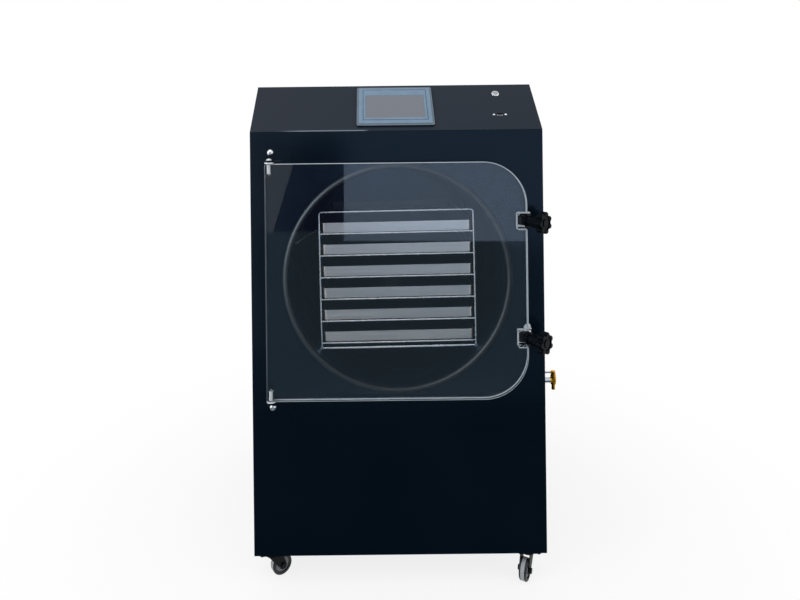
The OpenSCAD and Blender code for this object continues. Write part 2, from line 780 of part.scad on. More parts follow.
// Screw holes through sheet pieces of the clamps
module clamp_holes(at, r, front) for (p = at) translate([p.x, 0, p.z]) along_y(front - past)
    cylinder(r = r + hole_play, h = past * 2 - front);

// Stainless backing plates that show through the notches; the lower one has a round ear on top
module clamp_plates() color("#d5dadd") in_frame() difference() {
    profile_y(-backing_t, 0) {
        for (z = clamp_z) translate([notch_x + 1 + backing_w / 2, z]) round_rect(backing_w, notch_h - 2, 3);
        translate([notch_x + backing_w - ear_in_r - 1, clamp_z[1] + notch_h / 2 + 1]) circle(ear_in_r);
    }
    clamp_holes(plate_screw_at, small_shank_r, -backing_t);
    clamp_holes(clamp_screw_at, bracket_shank_r, -backing_t);
}

// Black clamp bracket: base plate with two ears round the pivot, and the pivot pin between them
module clamp_bracket(z) color("#14181c") in_frame() {
    base_front = -backing_t - bracket_t;
    pin_h = eye_h + 2 * (play + ear_t);
    difference() {
        translate([0, 0, z]) {
            profile_y(base_front, -backing_t) polygon([
                [bracket_x, bracket_h / 2], [bracket_x + bracket_w, bracket_h / 2],
                [bracket_x + bracket_w, -bracket_h / 2], [bracket_x + 9, -bracket_h / 2]
            ]);
            for (s = [-1, 1]) translate([0, 0, s * (eye_h / 2 + play + ear_t / 2) - ear_t / 2])
                linear_extrude(ear_t) {
                    translate([pivot_x, -pivot_out]) circle(eye_r - 0.5);
                    polygon([
                        [pivot_x - eye_r + 0.5, -pivot_out], [bracket_x + 1, base_front + 0.5],
                        [pivot_x + eye_r + 4, base_front + 0.5], [pivot_x + eye_r - 0.5, -pivot_out]
                    ]);
                }
        }
        translate([pivot_x, -pivot_out, z - bracket_h / 2]) cylinder(r = pivot_pin_r - 0.5, h = bracket_h);
        clamp_holes(clamp_screw_at, bracket_shank_r, base_front);
    }
    translate([pivot_x, -pivot_out, z - pin_h / 2 - 1]) {
        cylinder(r = pivot_pin_r, h = pin_h + 1);
        translate([0, 0, pin_h + 1]) cylinder(r = pivot_pin_r + 2, h = 1.4);
    }
}
module clamp_bracket_upper() clamp_bracket(clamp_z[0]);
module clamp_bracket_lower() clamp_bracket(clamp_z[1]);

// Button screws of the brackets
module clamp_screws() color("#d5dadd") in_frame() for (p = clamp_screw_at)
    translate([p.x, -backing_t - bracket_t, p.z]) rotate([90, 0, 0])
        button_screw(bracket_head_r, bracket_shank_r, backing_t + bracket_t + bracket_screw_end);

// Small screws of the backing plates and of the data socket, all alike
module small_screws() color("#d5dadd") in_frame() {
    for (p = plate_screw_at) translate([p.x, -backing_t, p.z]) rotate([90, 0, 0])
        button_screw(small_head_r, small_shank_r, small_len);
    on_slope(button_x, socket_up) for (s = [-1, 1]) translate([s * socket_screw_x, 0, 0])
        button_screw(small_head_r, small_shank_r, small_len);
}

// Puts children on a clamp's bolt: origin at the pivot, +Z along the bolt
module on_bolt(z) translate([pivot_x, -pivot_out, z]) rotate([0, 0, clamp_rest]) rotate([90, 0, 0])
    children();

// Eye bolt: an eye round the pivot pin and a threaded shank
module swing_bolt(z) color("#b9bfc4") in_frame() on_bolt(z) difference() {
    union() {
        rotate([-90, 0, 0]) translate([0, 0, -eye_h / 2]) cylinder(r = eye_r, h = eye_h);
        cylinder(r = bolt_r, h = knob_at + knob_t - 3);
    }
    rotate([-90, 0, 0]) translate([0, 0, -eye_h / 2 - past])
        cylinder(r = pivot_pin_r + slip, h = eye_h + 2 * past);
}
module swing_bolt_upper() swing_bolt(clamp_z[0]);
module swing_bolt_lower() swing_bolt(clamp_z[1]);

// Sleeve between the pane and the knob, with a round foot and a body that widens to the knob
module clamp_sleeve(z) color("#191c1f") in_frame() on_bolt(z) translate([0, 0, foot_at])
    rotate_extrude() difference() {
        union() {
            translate([0, 0.8]) square([foot_r, foot_t - 0.8]);
            square([foot_r - 0.8, foot_t]);
            translate([foot_r - 0.8, 0.8]) circle(0.8, $fn = 24);
            polygon([
                [0, 0], [bolt_r + 7.5, 0], [bolt_r + 7.5, foot_t + 4],
                [bolt_r + 10, foot_t + sleeve_len], [0, foot_t + sleeve_len]
            ]);
        }
        translate([-foot_r, -past]) square([foot_r + bolt_r + slip, foot_t + sleeve_len + 2 * past]);
    }
module clamp_sleeve_upper() clamp_sleeve(clamp_z[0]);
module clamp_sleeve_lower() clamp_sleeve(clamp_z[1]);

// Star knob: round lobes on a disc, hollows between them, a raised boss and a blind bore
module star_knob(z) color("#101214") in_frame() on_bolt(z) translate([0, 0, knob_at])
    difference() {
        union() {
            translate([0, 0, 2]) linear_extrude(knob_t - 4) star_outline(0);
            linear_extrude(knob_t) star_outline(knob_bevel);
        }
        translate([0, 0, -past]) cylinder(r = bolt_r + slip, h = knob_t - 3 + past + play);
        translate([0, 0, knob_t - 2]) tube(knob_r - 9, knob_r * 0.36, 2 + past);
    }

// Outline of the knob with one lobe to the left, drawn in by inset
module star_outline(inset) rotate(180) {
    lobe_r = knob_r * 0.26 - inset;
    lobe_at = knob_r * 0.74;
    difference() {
        circle(lobe_at);
        for (i = [0 : knob_lobes - 1]) rotate((i + 0.5) * 360 / knob_lobes)
            translate([knob_r * 0.98, 0]) circle(knob_r * 0.22 + inset);
    }
    for (i = [0 : knob_lobes - 1]) rotate(i * 360 / knob_lobes) translate([lobe_at, 0]) circle(lobe_r);
}
module star_knob_upper() star_knob(clamp_z[0]);
module star_knob_lower() star_knob(clamp_z[1]);

// ---------------------------------------------------------------- drain valve and services

// Angle valve on the right side: nipple from the panel, upright body, hose spigot below
module drain_valve() color("#c8902c") in_frame() translate([0, valve_back, valve_z]) difference() {
    union() {
        along_x(side_in - 8) cylinder(r = nipple_r, h = valve_x - side_in + 8);
        translate([valve_x, 0, -valve_h / 2 + spigot_len]) {
            cylinder(r = valve_r - 1, h = 22);
            translate([0, 0, 5]) cylinder(r = valve_r, h = 9, $fn = 6);
            cylinder(r = valve_r - 2, h = 28);
        }
        translate([valve_x, 0, -valve_h / 2]) cylinder(r = spigot_r, h = spigot_len + 1);
    }
    translate([valve_x, 0, -valve_h / 2 - past]) cylinder(r = 2.5, h = valve_h / 2 + past);
    along_x(side_in - 8 - past) cylinder(r = 3, h = valve_x - side_in + 8 + past);
}

// Lever on the valve stem, pointing at the cabinet when shut
module drain_handle() color("#14181c") in_frame()
    translate([valve_x, valve_back, valve_z - valve_h / 2 + spigot_len + 28 + play]) {
        cylinder(r = 5.5, h = 4.5);
        translate([-16, 0, 0]) linear_extrude(3) round_rect(28, 7, 3);
    }

// Drain tube from the lowest point of the drum to the valve
module drain_pipe() color("#b8bdc2") in_frame() translate([0, valve_back, 0]) {
    drop = drum_z - drum_r - 1 - (valve_z + elbow_r);
    translate([0, 0, valve_z + elbow_r]) tube(pipe_r, pipe_r - 1.5, drop);
    translate([elbow_r, 0, valve_z + elbow_r]) rotate([90, 0, 0]) rotate([0, 0, 180])
        rotate_extrude(angle = 90) translate([elbow_r, 0]) ring(pipe_r, pipe_r - 1.5);
    translate([0, 0, valve_z]) along_x(elbow_r) tube(pipe_r, pipe_r - 1.5, side_in - 8.2 - elbow_r);
}

// Vacuum port: tube from the drum's back through the rear face, with a clamp flange
module vacuum_port() color("#b8bdc2") in_frame() translate([0, 0, port_z]) {
    start = drum_depth + 0.5;
    end = body_d + port_len;
    outer = port_bore_r + port_wall;
    along_y(start) rotate_extrude() difference() {
        union() {
            square([outer, end - start]);
            translate([0, end - start - 4]) square([outer + 6, 4]);
            polygon([
                [0, end - start - 8], [outer, end - start - 8],
                [outer + 6, end - start - 4], [0, end - start - 4]
            ]);
            translate([0, drum_wall + jacket_t + 2]) square([outer + 4, 3]);
        }
        translate([-outer, -past]) square([outer + port_bore_r, end - start + 2 * past]);
    }
}

inlet_x = 210;
inlet_z = z_base + 150;
inlet_w = 50;
inlet_h = 28;

// Mains inlet: flange, shroud with a deep recess and three flat pins
module power_inlet() color("#1a1a1a") in_frame() translate([inlet_x, body_d, inlet_z]) {
    difference() {
        union() {
            along_y(0) linear_extrude(3) round_rect(inlet_w, inlet_h, 3);
            along_y(-26) linear_extrude(26.5) square([inlet_w - 10, inlet_h - 8], center = true);
        }
        along_y(-20) linear_extrude(24) square([26, 16], center = true);
    }
    for (p = [[-7, 2.5], [7, 2.5], [0, -3]]) translate([p.x, 0, -p.y]) along_y(-21)
        linear_extrude(14) square([2, 4], center = true);
}

// ---------------------------------------------------------------- casters

plate_half = 28;
caster_plate_t = 3;
race_t = 7;
race_r = 19;
fork_t = 2.5;
fork_w = wheel_w + 2 * (1 + fork_t);
axle_r = 4;
caster_at = [
    [-body_w / 2 + caster_in_x, caster_in_y, 34],
    [body_w / 2 - caster_in_x, caster_in_y, -120],
    [-body_w / 2 + caster_in_x, body_d - caster_in_y, 20],
    [body_w / 2 - caster_in_x, body_d - caster_in_y, 62]
];
crown_z = z_base - caster_plate_t - race_t;

// Top plates with their ball races and the four bolts that hold each to the pan
module caster_plates() color("#a9aeb2") in_frame() for (c = caster_at) translate([c.x, c.y, 0]) {
    translate([0, 0, z_base - caster_plate_t]) linear_extrude(caster_plate_t)
        round_rect(2 * plate_half, 2 * plate_half, 4);
    translate([0, 0, crown_z + play]) cylinder(r = race_r, h = race_t - play);
    translate([0, 0, crown_z - 5]) cylinder(r = 5 - slip, h = 6);
    translate([0, 0, crown_z - fork_crown_t - play - 3]) cylinder(r = 8, h = 3);
    for (x = [-1, 1], y = [-1, 1])
        translate([x * (plate_half - 6), y * (plate_half - 6), z_base - caster_plate_t - 3])
            cylinder(r = 4.2, h = 3.2, $fn = 6);
}
fork_crown_t = 2.5;

// Puts children at a caster: origin on its swivel axis, +X along the trail
module at_caster(i) translate([caster_at[i].x, caster_at[i].y, 0]) rotate([0, 0, caster_at[i].z]) children();

module caster_fork(i) color("#181c20") in_frame() at_caster(i) {
    difference() {
        union() {
            for (s = [-1, 1]) translate([0, s * (fork_w - fork_t) / 2, 0])
                profile_y(-fork_t / 2, fork_t / 2) fork_cheek();
            translate([0, 0, crown_z - fork_crown_t]) linear_extrude(fork_crown_t) {
                circle(race_r);
                square([2 * race_r - 6, fork_w], center = true);
            }
        }
        translate([0, 0, crown_z - fork_crown_t - past]) cylinder(r = 5, h = fork_crown_t + 2 * past);
    }
    // axle bolt with head and nut
    translate([caster_trail, 0, wheel_r]) {
        along_y(-fork_w / 2 - 0.5) cylinder(r = axle_r, h = fork_w + 1);
        along_y(-fork_w / 2 - 4) cylinder(r = 6.5, h = 4 - 0.1, $fn = 6);
        along_y(fork_w / 2 + 0.1) cylinder(r = 6.5, h = 4 - 0.1, $fn = 6);
    }
}

// The cheek with true arcs: a round end at the axle and straight flanks to the crown
module fork_cheek() {
    end_r = 9;
    top = crown_z - fork_crown_t / 2;
    left = [-race_r + 3, top];
    right = [race_r - 3, top];
    axle = [caster_trail, wheel_r];
    translate(axle) circle(end_r);
    polygon([left, right, [right.x + 6, top - 8], tangent(axle, end_r, [right.x + 6, top - 8], 1),
             axle, tangent(axle, end_r, left, -1)]);
}

// Point where the line from p touches the circle (c, r), on side s
function tangent(c, r, p, s) =
    let (d = norm(p - c), base = atan2(p.y - c.y, p.x - c.x), a = acos(r / d))
    c + r * [cos(base - s * a), sin(base - s * a)];

module caster_fork_fl() caster_fork(0);
module caster_fork_fr() caster_fork(1);
module caster_fork_rl() caster_fork(2);
module caster_fork_rr() caster_fork(3);

// Wheel with a crowned tread, a dished web on each side and a hub bored for the axle
module caster_wheel(i) color("#8f959a") in_frame() at_caster(i) translate([caster_trail, 0, wheel_r])
    rotate([90, 0, 0]) rotate_extrude($fn = 96) difference() {
        union() {
            translate([0, -wheel_w / 2 + 3]) square([wheel_r, wheel_w - 6]);
            translate([0, -wheel_w / 2]) square([wheel_r - 3, wheel_w]);
            for (s = [-1, 1]) translate([wheel_r - 3, s * (wheel_w / 2 - 3)]) circle(3);
        }
        for (s = [-1, 1]) translate([wheel_r / 2 + 1, s * wheel_w / 2])
            square([wheel_r - 16, 6], center = true);
        translate([-wheel_r, -wheel_w]) square([wheel_r + axle_r + slip, 2 * wheel_w]);
    }
module caster_wheel_fl() caster_wheel(0);
module caster_wheel_fr() caster_wheel(1);
module caster_wheel_rl() caster_wheel(2);
module caster_wheel_rr() caster_wheel(3);

// ---------------------------------------------------------------- machinery

floor_z = z_base + pan_t;

// Hermetic compressor pot on a foot plate with four rubber mounts
module compressor() color("#1d1f21") in_frame()
    translate([side_in - compressor_in_x, body_d - compressor_in_y, floor_z]) {
        for (x = [-1, 1], y = [-1, 1])
            translate([x * (stand_w / 2 - mount_in), y * (stand_d / 2 - mount_in), 0])
                cylinder(r = mount_r, h = mount_h + 0.5);
        translate([0, 0, mount_h]) linear_extrude(stand_t) round_rect(stand_w, stand_d, 12);
        translate([0, 0, mount_h + 2]) rotate_extrude() difference() {
            union() {
                translate([0, 0]) square([pot_r - pot_knuckle, pot_h]);
                translate([0, pot_knuckle]) square([pot_r, pot_h - pot_dome - pot_knuckle]);
                translate([pot_r - pot_knuckle, pot_knuckle]) circle(pot_knuckle);
                translate([pot_r - pot_dome, pot_h - pot_dome]) circle(pot_dome);
                translate([0, pot_h * 0.45]) square([pot_r + pot_seam, pot_seam]);
            }
            translate([-pot_r * 2, -pot_r]) square([pot_r * 2, pot_h * 2]);
        }
        translate([-pot_r - 30, 30, mount_h + 120]) along_x(0) cylinder(r = 5, h = 40);
    }

// Finned condenser between two end plates, standing on the pan behind the fan
fin_count = 26;
condenser_w = 260;
condenser_h = 250;
condenser_d = 60;
module condenser() color("#9aa0a5") in_frame()
    translate([fan_x, fan_back_y - 6 - condenser_d, floor_z]) {
        for (s = [-1, 1]) translate([s * (condenser_w / 2 - 1), 0, 0]) translate([-1, 0, 0])
            cube([2, condenser_d, condenser_h]);
        for (i = [1 : fin_count]) translate([-condenser_w / 2 + i * condenser_w / (fin_count + 1) - 0.4, 0, 12])
            cube([0.8, condenser_d, condenser_h - 20]);
        for (row = [0 : 5], col = [0, 1])
            translate([0, 16 + col * 28, 32 + row * 36]) along_x(-condenser_w / 2)
                cylinder(r = 5, h = condenser_w);
    }
fan_back_y = body_d - sheet_t - fan_depth;

// Square fan frame fixed to the rear face, with four struts and the motor boss
module fan_frame() color("#202326") in_frame() translate([fan_x, fan_back_y, fan_z]) {
    side = 2 * (fan_r + fan_rim);
    difference() {
        along_y(0) linear_extrude(fan_depth - 0.1) round_rect(side, side, 10);
        along_y(-past) cylinder(r = fan_r + 2, h = fan_depth + 2 * past, $fn = 96);
    }
    for (a = [45, 135]) rotate([0, a, 0]) translate([-fan_r - fan_rim / 2, 0, -strut_w / 2])
        cube([2 * fan_r + fan_rim, strut_t, strut_w]);
    along_y(0) cylinder(r = fan_hub_r, h = boss_h);
    along_y(boss_h - 1) cylinder(r = shaft_r, h = fan_depth - boss_h - 3);
}

// Hub with pitched flat blades, running on the motor shaft
module fan_rotor() color("#2c3034") in_frame() translate([fan_x, fan_back_y, fan_z]) difference() {
    union() {
        along_y(rotor_at) cylinder(r = fan_hub_r, h = rotor_len);
        intersection() {
            along_y(rotor_at) tube(fan_r - 2, fan_hub_r - 2, rotor_len, $fn = 96);
            for (i = [0 : fan_blades - 1]) rotate([0, i * 360 / fan_blades, 0])
                translate([0, rotor_at + rotor_len / 2, fan_r / 2]) rotate([0, 0, 32])
                    cube([blade_chord, blade_t, fan_r], center = true);
        }
    }
    along_y(0) cylinder(r = shaft_r + slip, h = fan_depth);
}

// ---------------------------------------------------------------- build

base_pan();
front_panel();
side_panel_left();
side_panel_right();
rear_panel();
top_panel();
control_panel();
deck_plate();
chamber_drum();
chamber_jacket();
cooling_coil();
door_seal();
tray_rack();
tray_1();
tray_2();
tray_3();
tray_4();
tray_5();
tray_6();
temperature_probe();
screen_housing();
screen_glass();
button_bezel();
button_cap();
data_socket();
hinge_bracket_upper();
hinge_bracket_lower();
hinge_pin_upper();
hinge_pin_lower();
hinge_screws();
door_pane();
clamp_plates();
clamp_bracket_upper();
clamp_bracket_lower();
clamp_screws();
small_screws();
swing_bolt_upper();
swing_bolt_lower();
clamp_sleeve_upper();
clamp_sleeve_lower();
star_knob_upper();
star_knob_lower();
drain_valve();
drain_handle();
drain_pipe();
vacuum_port();
power_inlet();
caster_plates();
caster_fork_fl();
caster_fork_fr();
caster_fork_rl();
caster_fork_rr();
caster_wheel_fl();
caster_wheel_fr();
caster_wheel_rl();
caster_wheel_rr();
compressor();
condenser();
fan_frame();
fan_rotor();
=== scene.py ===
# %% [markdown]
# # Freeze dryer
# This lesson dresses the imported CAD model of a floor-standing freeze dryer: a dark steel cabinet
# on casters with a round vacuum chamber behind a clear door. The CAD gives every solid its place,
# so the lesson is about finishes: powder coat, stainless steel, clear acrylic, rubber and brass.

# %% Load the frame
import json
import math

import bpy
from mathutils import Matrix, Vector


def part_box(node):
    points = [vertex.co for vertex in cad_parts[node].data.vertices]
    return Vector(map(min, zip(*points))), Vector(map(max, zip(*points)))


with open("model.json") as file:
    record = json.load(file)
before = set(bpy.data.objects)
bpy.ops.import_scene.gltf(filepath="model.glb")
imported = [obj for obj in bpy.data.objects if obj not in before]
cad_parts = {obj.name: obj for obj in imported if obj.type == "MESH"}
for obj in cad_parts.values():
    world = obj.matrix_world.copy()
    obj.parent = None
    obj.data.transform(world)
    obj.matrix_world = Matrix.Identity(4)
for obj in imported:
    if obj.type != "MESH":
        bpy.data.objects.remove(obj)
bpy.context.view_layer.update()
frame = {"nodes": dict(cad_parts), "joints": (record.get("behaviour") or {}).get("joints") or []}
nodes = frame["nodes"]

# %% [markdown]
# ## A small kit for material nodes
# Every finish here is procedural: noise and simple maths decide the colour and the gloss at each
# point, so nothing has to be unwrapped or painted. A few helpers keep the node wiring readable.
# Each one adds a node, feeds it sockets or plain values, and returns the socket that comes out.


# %% Helpers that add and join nodes
def add(tree, kind, **settings):
    node = tree.nodes.new(kind)
    for key, value in settings.items():
        setattr(node, key, value)
    return node


def feed(tree, target, source):
    if isinstance(source, bpy.types.NodeSocket):
        tree.links.new(source, target)
    else:
        target.default_value = source


def feed_all(tree, node, sources):
    for target, source in zip(node.inputs, sources):
        feed(tree, target, source)


def join(tree, pairs):
    for out_socket, in_socket in pairs:
        tree.links.new(out_socket, in_socket)


print("wiring helpers ready")


# %% Helpers for maths, places and mixtures
def maths(tree, operation, *sources):
    node = add(tree, "ShaderNodeMath", operation=operation)
    feed_all(tree, node, sources)
    return node.outputs["Value"]


def vectors(tree, operation, *sources):
    node = add(tree, "ShaderNodeVectorMath", operation=operation)
    feed_all(tree, node, sources)
    return node.outputs["Value" if operation in ("LENGTH", "DOT_PRODUCT") else "Vector"]


def here(tree):
    return add(tree, "ShaderNodeTexCoord").outputs["Object"]


def travel(tree, direction):
    return vectors(tree, "DOT_PRODUCT", here(tree), direction)


def from_middle(tree, low, high):
    middle = [(a + b) / 2 for a, b in zip(low, high)]
    return vectors(tree, "SUBTRACT", here(tree), middle)


def spread(tree, value, start, end, low=0.0, high=1.0, **settings):
    span = add(tree, "ShaderNodeMapRange", **settings)
    labels = ("Value", "From Min", "From Max", "To Min", "To Max")
    for label, source in zip(labels, (value, start, end, low, high)):
        feed(tree, span.inputs[label], source)
    return span.outputs["Result"]


def mixed(tree, share, first, second):
    mix = add(tree, "ShaderNodeMix", data_type="RGBA")
    for slot, source in zip((0, 6, 7), (share, first, second)):
        feed(tree, mix.inputs[slot], source)
    return mix.outputs[2]


def blend_shaders(tree, share, first, second):
    blend = add(tree, "ShaderNodeMixShader")
    feed_all(tree, blend, (share, first, second))
    feed(tree, tree.nodes["Material Output"].inputs["Surface"], blend.outputs["Shader"])


print("maths helpers ready")

# %% [markdown]
# ## Surface effects that several finishes share
# Powder coat has a faint orange peel and uneven gloss. Sheet steel is brushed in one direction.
# Both are node groups with named inputs, built once and used by many materials with their own
# values. A bump turns the noise into a slope, so the small relief costs no geometry.


# %% Group: uneven skin
def new_group(name, inputs, outputs):
    tree = bpy.data.node_groups.new(name, "ShaderNodeTree")
    for label, kind, value in inputs:
        socket = tree.interface.new_socket(label, in_out="INPUT", socket_type=kind)
        socket.default_value = value
    for label, kind in outputs:
        tree.interface.new_socket(label, in_out="OUTPUT", socket_type=kind)
    return tree, add(tree, "NodeGroupInput"), add(tree, "NodeGroupOutput")


PEEL_DEPTH = 0.0004
skin_group, gin, gout = new_group(
    "Uneven skin",
    [
        ("Grain size", "NodeSocketFloat", 900.0),
        ("Patch size", "NodeSocketFloat", 4.0),
        ("Grain height", "NodeSocketFloat", 0.1),
    ],
    [("Patches", "NodeSocketFloat"), ("Grain", "NodeSocketFloat"), ("Normal", "NodeSocketVector")],
)
place = here(skin_group)
grain = add(skin_group, "ShaderNodeTexNoise")
grain.inputs["Detail"].default_value = 2.0
patches = add(skin_group, "ShaderNodeTexNoise")
patches.inputs["Detail"].default_value = 4.0
bump = add(skin_group, "ShaderNodeBump")
bump.inputs["Distance"].default_value = PEEL_DEPTH
join(skin_group, [
    (place, grain.inputs["Vector"]),
    (place, patches.inputs["Vector"]),
    (gin.outputs["Grain size"], grain.inputs["Scale"]),
    (gin.outputs["Patch size"], patches.inputs["Scale"]),
    (gin.outputs["Grain height"], bump.inputs["Strength"]),
    (grain.outputs["Fac"], bump.inputs["Height"]),
    (patches.outputs["Fac"], gout.inputs["Patches"]),
    (grain.outputs["Fac"], gout.inputs["Grain"]),
    (bump.outputs["Normal"], gout.inputs["Normal"]),
])
print("group", skin_group.name)

# %% Group: brush lines
BRUSH_DEPTH = 0.0003
brush_group, gin, gout = new_group(
    "Brush lines",
    [
        ("Stretch", "NodeSocketVector", (4.0, 4.0, 900.0)),
        ("Line height", "NodeSocketFloat", 0.08),
    ],
    [("Lines", "NodeSocketFloat"), ("Normal", "NodeSocketVector")],
)
lines = add(brush_group, "ShaderNodeTexNoise")
lines.inputs["Scale"].default_value = 1.0
lines.inputs["Detail"].default_value = 3.0
bump = add(brush_group, "ShaderNodeBump")
bump.inputs["Distance"].default_value = BRUSH_DEPTH
stretched = vectors(brush_group, "MULTIPLY", here(brush_group), gin.outputs["Stretch"])
join(brush_group, [
    (stretched, lines.inputs["Vector"]),
    (gin.outputs["Line height"], bump.inputs["Strength"]),
    (lines.outputs["Fac"], bump.inputs["Height"]),
    (lines.outputs["Fac"], gout.inputs["Lines"]),
    (bump.outputs["Normal"], gout.inputs["Normal"]),
])
print("group", brush_group.name)

# %% [markdown]
# ## Finishes
# A finish is a Principled shader. Values that are the same all over are set on the shader itself.
# The colour and the roughness, which vary a little, come from the groups: most of the noise lies
# between two levels, and those are mapped to the ends of the finish's own range. Colours are
# written as 0-255 values and turned into the linear values Blender wants.

# %% Colour and finish functions
NOISE_LOW, NOISE_HIGH = 0.3, 0.7


def linear(*rgb):
    def one(v):
        v /= 255.0
        return v / 12.92 if v <= 0.04045 else ((v + 0.055) / 1.055) ** 2.4

    return tuple(one(v) for v in rgb) + (1.0,)


def set_inputs(node, values):
    for label, value in values.items():
        node.inputs[label.replace("_", " ")].default_value = value


def start_material(name, **sockets):
    material = bpy.data.materials.new(name)
    material.use_nodes = True
    shader = material.node_tree.nodes["Principled BSDF"]
    set_inputs(shader, sockets)
    return material, material.node_tree, shader


def place_group(tree, group, **values):
    node = add(tree, "ShaderNodeGroup", node_tree=group)
    set_inputs(node, values)
    return node


def vary(tree, noise, low, high, target):
    feed(tree, target, spread(tree, noise, NOISE_LOW, NOISE_HIGH, low, high))


def tint(tree, noise, dark, light, target):
    feed(tree, target, mixed(tree, noise, linear(*dark), linear(*light)))


print("colour functions ready")


# %% Coated and brushed finishes
def coated(name, dark, light, rough, grain=900.0, height=0.1, **sockets):
    material, tree, shader = start_material(name, **sockets)
    skin = place_group(tree, skin_group, Grain_size=grain, Grain_height=height)
    tint(tree, skin.outputs["Patches"], dark, light, shader.inputs["Base Color"])
    vary(tree, skin.outputs["Patches"], rough[0], rough[1], shader.inputs["Roughness"])
    join(tree, [(skin.outputs["Normal"], shader.inputs["Normal"])])
    return material


def brushed(name, dark, light, rough, stretch, height=0.08, **sockets):
    sockets.setdefault("Metallic", 1.0)
    material, tree, shader = start_material(name, **sockets)
    brush = place_group(tree, brush_group, Stretch=stretch, Line_height=height)
    tint(tree, brush.outputs["Lines"], dark, light, shader.inputs["Base Color"])
    vary(tree, brush.outputs["Lines"], rough[0], rough[1], shader.inputs["Roughness"])
    join(tree, [(brush.outputs["Normal"], shader.inputs["Normal"])])
    return material


print("finish functions ready")

# %% [markdown]
# ## Coats and plastics
# The cabinet is powder coated nearly black with a blue cast, and its front is wiped shinier than
# the other sides. The sloping face has the same coat, painted a lighter grey for the light that
# falls on it from above. The clamps are black plastic, which mirrors little. The grain of the
# coats is kept low, so that large sheets read as smooth.

# %% Coated sheet
BLUE_GLOSS = (0.68, 0.82, 1.0, 1.0)
NAVY = ((3, 12, 21), (6, 16, 27))
paint = coated(
    "cabinet coat", *NAVY, rough=(0.3, 0.4), height=0.015,
    Specular_IOR_Level=0.2, Specular_Tint=BLUE_GLOSS,
)
front_paint = coated(
    "front coat", *NAVY, rough=(0.14, 0.2), height=0.015,
    Specular_IOR_Level=0.24, Specular_Tint=BLUE_GLOSS,
)
# The slope coat is the cabinet's coat painted lighter, as the light on a face that looks up.
lit_slope_paint = coated(
    "slope coat painted lighter", (27, 35, 46), (33, 41, 52), rough=(0.4, 0.5), height=0.015,
    Specular_IOR_Level=0.12,
)
inner_paint = coated("inner sheet coat", (34, 38, 42), (44, 48, 52), rough=(0.5, 0.6))
black_coat = coated(
    "black bracket coat", (8, 12, 18), (16, 21, 28), rough=(0.3, 0.45), Specular_IOR_Level=0.25,
)
fork_coat = coated(
    "fork coat", (6, 8, 10), (13, 15, 18), rough=(0.4, 0.5), Specular_IOR_Level=0.15,
)
pot_paint = coated("compressor paint", (14, 15, 16), (26, 27, 29), rough=(0.25, 0.4))
print(len(bpy.data.materials), "coats")

# %% Plastic and foam
black_plastic = coated(
    "black moulded plastic", (3, 6, 10), (8, 12, 17), rough=(0.3, 0.42), grain=1500.0,
    Specular_IOR_Level=0.06, Specular_Tint=(0.7, 0.85, 1.0, 1.0),
)
fan_plastic = coated("fan plastic", (22, 24, 26), (32, 34, 36), rough=(0.45, 0.6))
foam = coated(
    "jacket foam", (196, 188, 150), (222, 214, 178), rough=(0.85, 0.95), grain=200.0, height=0.6,
)
screen_face = coated(
    "unlit screen", (96, 102, 112), (106, 112, 122), rough=(0.12, 0.2), height=0.0,
    Coat_Weight=0.3,
)
print(len(bpy.data.materials), "finishes so far")

# %% [markdown]
# ## Metals
# The chamber, the rack and the fittings are stainless steel, and the pipes are copper. The stretch
# of the brush lines says how fine they are along X, Y and Z: a small number draws the lines out.
# The zinc plates behind the clamps scatter light like a coat, so they are only partly metallic.

# %% Steel, copper and aluminium
# The drum's steel is painted dark blue-grey, which stands for the shade inside the chamber.
drum_steel_in_shade = brushed(
    "drum steel painted dark", (44, 54, 70), (58, 70, 88), rough=(0.35, 0.5),
    stretch=(12.0, 200.0, 12.0), height=0.02,
)
rack_steel = brushed(
    "rack wire steel", (176, 180, 184), (206, 210, 214), rough=(0.18, 0.3),
    stretch=(40.0, 300.0, 40.0),
)
bright_steel = brushed(
    "polished steel", (205, 208, 211), (228, 230, 232), rough=(0.1, 0.2),
    stretch=(300.0, 300.0, 40.0), height=0.03,
)
plate_steel = brushed(
    "white zinc plate", (206, 210, 214), (226, 229, 232), rough=(0.3, 0.42),
    stretch=(10.0, 10.0, 500.0), Metallic=0.2,
)
cap_steel = brushed(
    "button cap steel", (150, 153, 156), (172, 175, 178), rough=(0.3, 0.42),
    stretch=(300.0, 300.0, 40.0),
)
probe_steel = brushed(
    "probe steel", (70, 76, 82), (92, 98, 104), rough=(0.4, 0.5), stretch=(60.0, 60.0, 60.0),
)
copper = brushed(
    "copper tube", (168, 96, 60), (200, 124, 84), rough=(0.3, 0.45), stretch=(90.0, 90.0, 90.0),
)
fins = brushed(
    "bare aluminium fins", (170, 173, 176), (196, 199, 201), rough=(0.35, 0.5),
    stretch=(60.0, 60.0, 500.0),
)
print(len(bpy.data.materials), "finishes so far")

# %% [markdown]
# ## Clear acrylic
# The door is a 20 mm acrylic sheet. A Principled shader with full transmission bends and reflects
# light as acrylic does, so the cut edges catch some light by themselves, and the narrow bevel along
# them has a painted highlight of its own. Sharp caustics are noisy to trace, so shadow rays pass
# straight through and the chamber behind the pane is lit at once.

# %% Acrylic
ACRYLIC_IOR = 1.49
acrylic, tree, shader = start_material(
    "clear acrylic", Transmission_Weight=1.0, IOR=ACRYLIC_IOR, Roughness=0.0,
)
skin = place_group(tree, skin_group, Grain_size=60.0, Grain_height=0.0)
tint(tree, skin.outputs["Patches"], (246, 249, 251), (249, 252, 253), shader.inputs["Base Color"])
clear = add(tree, "ShaderNodeBsdfTransparent")
clear.inputs["Color"].default_value = (0.86, 0.9, 0.92, 1.0)
shadow_ray = add(tree, "ShaderNodeLightPath").outputs["Is Shadow Ray"]
blend_shaders(tree, shadow_ray, shader.outputs["BSDF"], clear.outputs["BSDF"])
print(acrylic.name, "bends light by", ACRYLIC_IOR)

